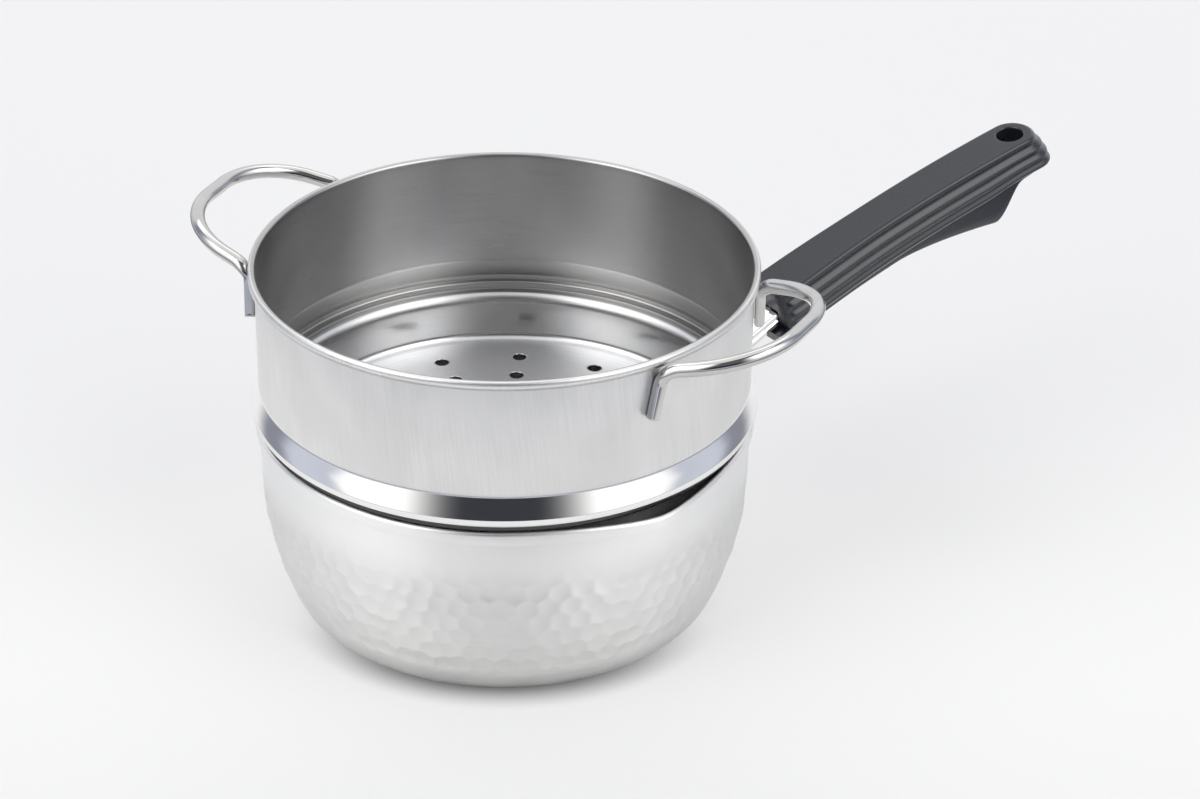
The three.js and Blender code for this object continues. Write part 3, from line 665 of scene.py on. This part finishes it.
# Side of the grip from the top edge down, as (depth, half width, ripple): a slow bulge with a cosine of
# ridges on it, the lowest one fainter; an arc that meets the ridges in one line rounds the top edge
def gripSide(grip):
    depth = np.linspace(grip["edgeDepth"], grip["sideDepth"] - 0.2, grip["sideSteps"])
    faint = 1 - 0.25 * smoothStep(depth, grip["bulgeDepth"], grip["sideDepth"])
    ripple = grip["ridgeSize"] * faint * np.cos(2 * np.pi * (depth - grip["firstRidge"]) / grip["ridgePitch"])
    half = grip["ridgeHalf"] - grip["ridgeSize"] - grip["bulgeCurve"] * (depth - grip["bulgeDepth"]) ** 2
    slope = math.atan2(half[1] + ripple[1] - half[0] - ripple[0], depth[1] - depth[0])
    radius = depth[0] / (1 - math.sin(slope))
    edge = arcPoints((half[0] - radius * math.cos(slope), -radius), radius, 90, math.degrees(slope), 8)[:-1]
    edge = np.column_stack([-edge[:, 1], edge[:, 0], np.full(len(edge), ripple[0])])
    return np.concatenate([edge, np.column_stack([depth, half, ripple])])


# The sides are drawn in a little at both ends of the grip
def sideSqueeze(x, grip):
    end = smoothStep(x, grip["bellyEnd"] - grip["squeezeFar"], grip["bellyEnd"] + grip["fallLength"])
    whole = smoothStep(x, 0, grip["squeezeNear"]) * (1 - end)
    return mixed(grip["tongueDepth"] / grip["sideDepth"], 1, whole)


# Rows of a patch between a closed inner loop and a closed outer loop
def patchRows(inner, outer, rows):
    return mixed(inner[None], outer[None], np.linspace(0, 1, rows)[:, None, None])


def makeGrip(grip, tang):
    endCentre = grip["holeDistance"] + grip["endShift"]
    near = grip["nearRound"] * (1 - np.cos(np.radians(np.linspace(0, 90, 9))))
    stations = np.concatenate([near[:-1], np.linspace(near[-1], endCentre, grip["stations"], endpoint=False)])
    patchFrom = int(np.searchsorted(stations, grip["patchStart"]))
    tipTurn = np.radians(np.linspace(-90, 90, grip["endSteps"] + 1))

    def outline(half, lean, start, ripple=0.0, nearRound=0.0):
        x = stations.copy()
        x[0] = start
        gone = np.maximum(0, nearRound - x)
        flare = half + ripple * smoothStep(x, 0, grip["nearFade"])
        flare = flare + grip["rootFlare"] * (1 - smoothStep(x, 0, grip["straightEnd"]))
        flare = flare - nearRound + np.sqrt(np.maximum(0, nearRound ** 2 - gone ** 2))
        tip = half + ripple * (1 - grip["tipFade"] * np.cos(tipTurn) ** 2)
        xs = np.concatenate([x, endCentre + tip * np.cos(tipTurn), x[::-1]])
        ys = np.concatenate([-flare, tip * np.sin(tipTurn), flare[::-1]])
        return xs + lean * np.maximum(0, xs) / endCentre, ys

    rows = []
    side = gripSide(grip)
    webTop, webHalf, bend = grip["sideDepth"] + 0.1, grip["webHalf"], grip["keelRound"]
    sideRows = [(depth, half, 0.0, ripple, grip["nearRound"]) for depth, half, ripple in side]
    sideRows += [(grip["sideDepth"], webHalf, 0.0, 0.0, 0.0),
                 (webTop, webHalf, -grip["tongueLength"], 0.0, 0.0)]
    for depth, half, start, ripple, nearRound in sideRows:
        x, y = outline(half, depth * grip["endLean"], start, ripple, nearRound)
        rows.append(np.column_stack([x, y, archRise(x, grip) - depth * sideSqueeze(x, grip)]))
    swing = np.radians(np.linspace(0, 90, 7))
    keelRows = [(share, webHalf, bend) for share in (0.33, 0.67)]
    keelRows += [(1, webHalf - 2 * bend * (1 - math.cos(a)), bend * (1 - math.sin(a))) for a in swing]
    for share, half, lift in keelRows:
        x, y = outline(half, webTop * grip["endLean"] * (1 - share), -grip["tongueLength"])
        web = archRise(x, grip) - webTop * sideSqueeze(x, grip)
        room = np.clip((web + keelDepth(x, grip)) / (2 * bend), 0, 1)
        rows.append(np.column_stack([x, y, mixed(web, -keelDepth(x, grip) + lift * room, share)]))
    rings = np.array(rows)
    shell = Shell()

    def put(points, wrapColumns=False):
        return shell.grid(gripToPart(points), wrapColumns=wrapColumns)

    put(rings)
    spread = np.linspace(0, 1, grip["across"] + 1)[None, :, None]

    # strip of a face between the right and left side of a row of points
    def strip(right, left, height):
        points = mixed(right[:, None], left[:, None], spread)
        if height is not None:
            points[..., 2] = height(points[..., 0])
        return points

    def topHeight(x):
        return archRise(x, grip)

    def keelHeight(x):
        return -keelDepth(x, grip)

    holeMiddle = np.array([grip["holeDistance"], 0.0])
    holeRadius, ease = grip["holeDiameter"] / 2, grip["holeEase"]
    screwAt, pocketTop, boreTop = tang["screwDistance"], tang["pocketDepth"], tang["boreDepth"]
    pocketFrom = int(np.searchsorted(stations, screwAt - tang["screwRoom"]))
    pocketTo = int(np.searchsorted(stations, screwAt + tang["screwRoom"]))
    holeLoops = []
    faces = ((rings[0], topHeight, ()), (rings[-1], keelHeight, ((pocketFrom, pocketTo),)))
    for ring, height, gaps in faces:
        right, left = ring[:len(stations)], ring[::-1][:len(stations)]
        start = 0
        for gapFrom, gapTo in gaps + ((patchFrom, None),):
            put(strip(right[start:gapFrom + 1], left[start:gapFrom + 1], height))
            start = gapTo
        cross = strip(right[patchFrom:patchFrom + 1], left[patchFrom:patchFrom + 1], height)[0]
        border = np.concatenate([ring[patchFrom:len(ring) - patchFrom], cross[-2:0:-1]])
        circle = circleTowards(border, holeMiddle, holeRadius + ease)
        flat = patchRows(circle, border[:, :2], 7)
        put(np.concatenate([flat, height(flat[..., :1])], axis=-1), wrapColumns=True)
        holeLoops.append((circle, height(circle[:, 0])))
        for gapFrom, gapTo in gaps:
            lines = [strip(right[k:k + 1], left[k:k + 1], height)[0] for k in (gapFrom, gapTo)]
            back = left[gapFrom + 1:gapTo + 1][::-1]
            border = np.concatenate([right[gapFrom:gapTo], lines[1][:-1], back, lines[0][:0:-1]])
            middle = np.array([screwAt, 0.0])
            rim = circleTowards(border, middle, tang["pocketRadius"])
            flat = patchRows(rim, border[:, :2], 4)
            put(np.concatenate([flat, height(flat[..., :1])], axis=-1), wrapColumns=True)
            mouth, keel = height(rim[:, 0]), height(np.array(screwAt))
            bore, same = circleTowards(border, middle, tang["boreRadius"]), np.ones(len(rim))
            walls = [(rim, mouth), (rim, (keel + pocketTop) * same), (bore, (keel + pocketTop) * same),
                     (bore, (keel + boreTop) * same)]
            walls = np.array([np.column_stack([flatLoop, z]) for flatLoop, z in walls])
            numbers = put(walls, wrapColumns=True)
            shell.pole(gripToPart(np.array([screwAt, 0, keel + boreTop])), numbers[-1], True)
    # hanging hole: a straight bore with eased edges
    (circle, high), (lowCircle, low) = holeLoops
    heading, lowHeading = (unit(loop - holeMiddle) for loop in (circle, lowCircle))
    easing = np.radians(np.linspace(0, 90, 6))
    wall = [(holeRadius + ease * (1 - math.sin(a)), high - ease * (1 - math.cos(a))) for a in easing]
    wall += [(holeRadius, mixed(high - ease, low + ease, share)) for share in (0.25, 0.5, 0.75)]
    wall += [(holeRadius + ease * (1 - math.sin(a)), low + ease * (1 - math.cos(a))) for a in easing[::-1]]
    blend = np.linspace(0, 1, len(wall))
    put(np.array([np.column_stack([holeMiddle + radius * mixed(heading, lowHeading, share), z])
                  for (radius, z), share in zip(wall, blend)]), wrapColumns=True)
    # near end: the upper face with the socket of the tang, the step and the tongue below it
    upper = len(side) + 1
    lines = [strip(rings[row][:1], rings[row][::-1][:1], None)[0] for row in range(len(rings))]
    border = np.concatenate([rings[:upper, 0], lines[upper - 1][1:-1], rings[:upper, -1][::-1],
                             lines[0][-2:0:-1]])
    halfWidth = tang["width"] / 2 + tang["clearance"]
    halfHeight = (tang["height"] + tang["ribHeight"]) / 2 + tang["clearance"]
    middle = np.array([0.0, 0.0, -tang["depth"] + tang["ribHeight"] / 2])
    heading = border - middle
    size = np.maximum(np.abs(heading[:, 1:2]) / halfWidth, np.abs(heading[:, 2:]) / halfHeight)
    socket = middle + heading / size
    socket[:, 0] = 0
    put(patchRows(socket, border, 5), wrapColumns=True)
    inwards = np.array([tang["length"] + tang["clearance"], 0, 0])
    numbers = put(patchRows(socket, socket + inwards, 4), wrapColumns=True)
    shell.pole(gripToPart(middle + inwards), numbers[-1], True)
    put(np.array(lines[upper - 1:]))
    return shell.piece("mouldedGrip", moulded, "pan", ["handle_grip"], sharp=50)


makeGrip(gripShape, tang)


# Bracket

plate = dict(width=36, height=24, thickness=1.6, corner=6, rimGap=0.6, gap=0.25, ease=0.4, cornerSteps=10,
             edgeStep=2.5, tangStep=4.0, tangSink=0.4)


def makeBracket(plate, tang):
    inner = panOuter + plate["gap"]
    outer = inner + plate["thickness"]
    middle = panSheet["height"] - panSheet["rimHeight"] - plate["rimGap"] - plate["height"] / 2
    shell = Shell()
    # plate: closed outlines that grow from the middle, turn over the edge and shrink, bent round the pan
    w, h, ease = plate["width"] / 2, plate["height"] / 2, plate["ease"]
    corners = [(w, 0), (w, h), (-w, h), (-w, -h), (w, -h), (w, -0.01)]
    loop = roundCorners(corners, [plate["corner"]] * 4, plate["cornerSteps"])
    loop = densify(loop, plate["edgeStep"])[:-1]
    rows = [(share, outer) for share in (0.25, 0.5, 0.75, 0.9)]
    rows += [(1 - ease / w, outer), (1, outer - ease), (1, inner + ease), (1 - ease / w, inner)]
    rows += [(share, inner) for share in (0.75, 0.4)]
    share, radius = np.array(rows).T
    flat = share[:, None, None] * loop[None]
    points = turned(radius[:, None], middle + flat[..., 1], flat[..., 0] / outer)
    numbers = shell.grid(points)
    shell.pole((outer, 0, middle), numbers[0])
    shell.pole((inner, 0, middle), numbers[-1], True)
    # ribbed channel, open below, carried up into the grip
    half, low, high = tang["width"] / 2, -tang["height"] / 2, tang["height"] / 2
    sheet, rib, crest = tang["sheet"], tang["ribWidth"] / 2, tang["height"] / 2 + tang["ribHeight"]
    groove, depth = tang["groove"], tang["grooveDepth"]
    inside, roof = half - sheet, high - sheet
    corners = [(half - depth, 0), (half, groove), (half, high), (rib, high), (rib - 0.5, crest),
               (0.5 - rib, crest), (-rib, high), (-half, high), (-half, groove), (depth - half, 0),
               (-half, -groove), (-half, low), (-inside, low), (-inside, roof), (inside, roof), (inside, low),
               (half, low), (half, -groove), (half - depth, -0.01)]
    radii = [0.3, 1.2, 0.4, 0.5, 0.5, 0.4, 1.2, 0.3, 0.2, 0.3, 0.5, 0.5, 0.4, 0.4, 0.5, 0.5, 0.3]
    section = roundCorners(corners, radii, 4)[:-1]
    start = np.array([outer - plate["tangSink"], 0, middle])
    bend, end = gripToPart(np.array([[0, 0, -tang["depth"]], [tang["length"], 0, -tang["depth"]]], float))
    path = densify(roundCorners([start, bend, end], [tang["bendRadius"]], 14), plate["tangStep"])
    tangent = unit(np.gradient(path, axis=0))
    up = np.column_stack([-tangent[:, 2], tangent[:, 1], tangent[:, 0]])
    points = path[:, None] + section[None, :, 1:] * up[:, None] + section[None, :, :1] * np.array([0, 1, 0])
    points[0, :, 0] = np.sqrt(start[0] ** 2 - points[0, :, 1] ** 2)
    numbers = shell.grid(points)
    shell.faces += [numbers[0].tolist(), numbers[-1].tolist()[::-1]]
    return shell.piece("handleBracket", mirror, "pan", ["handle_bracket"])


makeBracket(plate, tang)

for fixing in ("tang_nut", "grip_spring_washer", "grip_screw"):
    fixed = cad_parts[fixing].data
    fixed.materials.clear()
    fixed.materials.append(plated)
print("pot built")


# Studio

studio = dict(floorRadius=30.0, board=(0.82, 0.82, 0.815, 1), edge=(0.22, 0.23, 0.27, 1),
              beyond=(0.55, 0.58, 0.66, 1), edgeRise=(0.34, 0.48), beyondRise=(0.6, 0.9),
              near=(0.84, 0.84, 0.84, 1), front=(0.77, 0.77, 0.77, 1), far=(0.73, 0.73, 0.74, 1),
              frontRise=(0.05, 0.25), farRise=(-0.05, 0.25), contactShadow=(0.24, 0.24, 0.245, 1),
              contactRise=(0.0825, 0.102), facingRise=(0.03, 0.09), glow=(0.93, 0.93, 0.935, 1),
              glowShare=0.45, sweep=(0.9, 0.9, 0.9, 1), sweepTop=(1.0, 1.0, 1.02, 1), sweepRise=(0.15, 0.4),
              sides=(0.36, 0.385, 0.46, 1), sidesTurn=(-0.7, -0.4), boxes=(1.3, 1.3, 1.29, 1),
              boxTops=(2.5, 2.5, 2.48, 1), boxPeaks=(3.4, 3.4, 3.37, 1), boxRise=(0.2, 0.5),
              peakRise=(0.55, 0.68), boxTurn=(-0.35, 0.45), ceiling=(0.12, 0.12, 0.125, 1),
              frontCeiling=(0.04, 0.041, 0.045, 1), ceilingTurn=(-0.2, 0.15), ceilingRise=(0.78, 0.9),
              room=(0.042, 0.044, 0.052, 1), roomTop=(0.16, 0.16, 0.165, 1), roomRise=(0.3, 0.5),
              roomTurn=(0.7, 0.97), ground=(0.92, 0.92, 0.92, 1),
              overhead=dict(at=(-0.3, 0.9, 4.0), size=(4.4, 4.8), radiance=1.0))
view = dict(eye=(-601.8, -894.75, 693.93), aim=(31.58, -22.95, 85.5), roll=0.0148, lens=90, sensor=36)
cameraTurn = math.atan2(view["eye"][1] - view["aim"][1], view["eye"][0] - view["aim"][0])
cameraSide = (math.cos(cameraTurn), math.sin(cameraTurn), 0)


def makeFloor(stage):
    turn = evenTurns(96)[None, :]
    rings = np.array([0.4, 2.0, 8.0, stage["floorRadius"]])[:, None]
    points = turned(rings, 0.0, turn)
    mesh = bpy.data.meshes.new("studioFloor")
    faces = gridQuads(len(rings), turn.size).tolist()
    faces += poleFan(points[..., 0].size, np.arange(turn.size)).tolist()
    mesh.from_pydata(np.concatenate([points.reshape(-1, 3), [[0, 0, 0]]]), [], faces)
    mesh.flip_normals()
    floor = bpy.data.objects.new("studioFloor", mesh)
    scene.collection.objects.link(floor)
    material, place = newFinish("paleFloor")
    level = place.stretch((mm, mm, 0))
    away, towards = level.length(), level.dot(cameraSide)
    camera = place.node("ShaderNodeLightPath", None, None, output=0)
    # reflections show the white board's grey edge and a bluish room beyond it
    color = place.tint(away.rise(*stage["edgeRise"]), stage["board"], stage["edge"])
    color = place.tint(away.rise(*stage["beyondRise"]), color, stage["beyond"])
    seen = place.tint(towards.rise(*stage["frontRise"]), stage["near"], stage["front"])
    seen = place.tint((-1 * towards).rise(*stage["farRise"]), seen, stage["far"])
    # a painted contact shadow darkens the floor close to the front of the base, and the floor in part glows
    # by itself for the camera
    facing = towards.rise(*stage["facingRise"])
    clear = 1 - facing * (1 - away.rise(*stage["contactRise"]))
    color = place.tint(clear, stage["contactShadow"], place.tint(camera, color, seen))
    lit = place.node("ShaderNodeBsdfDiffuse", None, {"Color": color})
    # the glow carries the same painted contact shadow
    glow = place.tint(clear, stage["contactShadow"], stage["glow"])
    own = place.node("ShaderNodeEmission", None, {"Color": glow})
    share = camera * stage["glowShare"]
    showSurface(place, place.node("ShaderNodeMixShader", None, {0: share, 1: lit, 2: own}))
    mesh.materials.append(material)


# Lamp that faces a point; its power gives the asked radiance over its area
def addLamp(name, at, aim, size, radiance):
    lamp = bpy.data.lights.new(name, "AREA")
    lamp.shape = "RECTANGLE"
    lamp.size, lamp.size_y = size
    lamp.energy = radiance * math.pi * size[0] * size[1]
    made = bpy.data.objects.new(name, lamp)
    heading = Vector(aim) - Vector(at)
    made.matrix_world = Matrix.Translation(at) @ heading.to_track_quat("-Z", "Y").to_matrix().to_4x4()
    made.visible_camera = False
    scene.collection.objects.link(made)


def lightStudio(stage):
    spin = Matrix.Rotation(cameraTurn + math.pi / 2, 3, "Z")     # lamps are placed as the camera sees them
    overhead = stage["overhead"]
    at = spin @ Vector(overhead["at"])
    addLamp("overheadLamp", at, (0, 0, 0), overhead["size"], overhead["radiance"])
    world = bpy.data.worlds.new("studio")
    scene.world = world
    world.use_nodes = True
    world.node_tree.nodes.clear()
    start = Shade(world.node_tree)
    way = start.node("ShaderNodeTexCoord", None, None, output=0)
    heading = start.node("ShaderNodeVectorMath", {"operation": "NORMALIZE"}, {0: way.stretch((1, 1, 0))})
    facing = heading.dot(cameraSide)
    # round the pot: a pale sweep behind it, bluish sides, white soft boxes in front, a dark room amid these
    rise = way.part(2)
    sweep = start.tint(rise.rise(*stage["sweepRise"]), stage["sweep"], stage["sweepTop"])
    around = start.tint(facing.rise(*stage["sidesTurn"]), sweep, stage["sides"])
    boxes = start.tint(rise.rise(*stage["boxRise"]), stage["boxes"], stage["boxTops"])
    boxes = start.tint(rise.rise(*stage["peakRise"]), boxes, stage["boxPeaks"])
    around = start.tint(facing.rise(*stage["boxTurn"]), around, boxes)
    above = start.tint(facing.rise(*stage["ceilingTurn"]), stage["ceiling"], stage["frontCeiling"])
    around = start.tint(rise.rise(*stage["ceilingRise"]), around, above)
    room = start.tint(rise.rise(*stage["roomRise"]), stage["room"], stage["roomTop"])
    around = start.tint(facing.rise(*stage["roomTurn"]), around, room)
    camera = start.node("ShaderNodeLightPath", None, None, output=0)
    glow = start.tint(camera, around, stage["ground"])
    sky = start.node("ShaderNodeBackground", None, {"Color": glow})
    start.node("ShaderNodeOutputWorld", None, {"Surface": sky})


def setCamera(view):
    camera = bpy.data.cameras.new("photoCamera")
    camera.sensor_fit, camera.sensor_width, camera.lens = "HORIZONTAL", view["sensor"], view["lens"]
    camera.clip_start, camera.clip_end = 0.01, 100
    eye, aim = Vector(view["eye"]) * mm, Vector(view["aim"]) * mm
    forward = (aim - eye).normalized()
    level = forward.cross(Vector((0, 0, 1))).normalized()
    up = level.cross(forward)
    right = level * math.cos(view["roll"]) + up * math.sin(view["roll"])
    up = up * math.cos(view["roll"]) - level * math.sin(view["roll"])
    made = bpy.data.objects.new("photoCamera", camera)
    made.matrix_world = Matrix.Translation(eye) @ Matrix((right, up, -forward)).transposed().to_4x4()
    scene.collection.objects.link(made)
    scene.camera = made


makeFloor(studio)
lightStudio(studio)
setCamera(view)
print("studio lit")
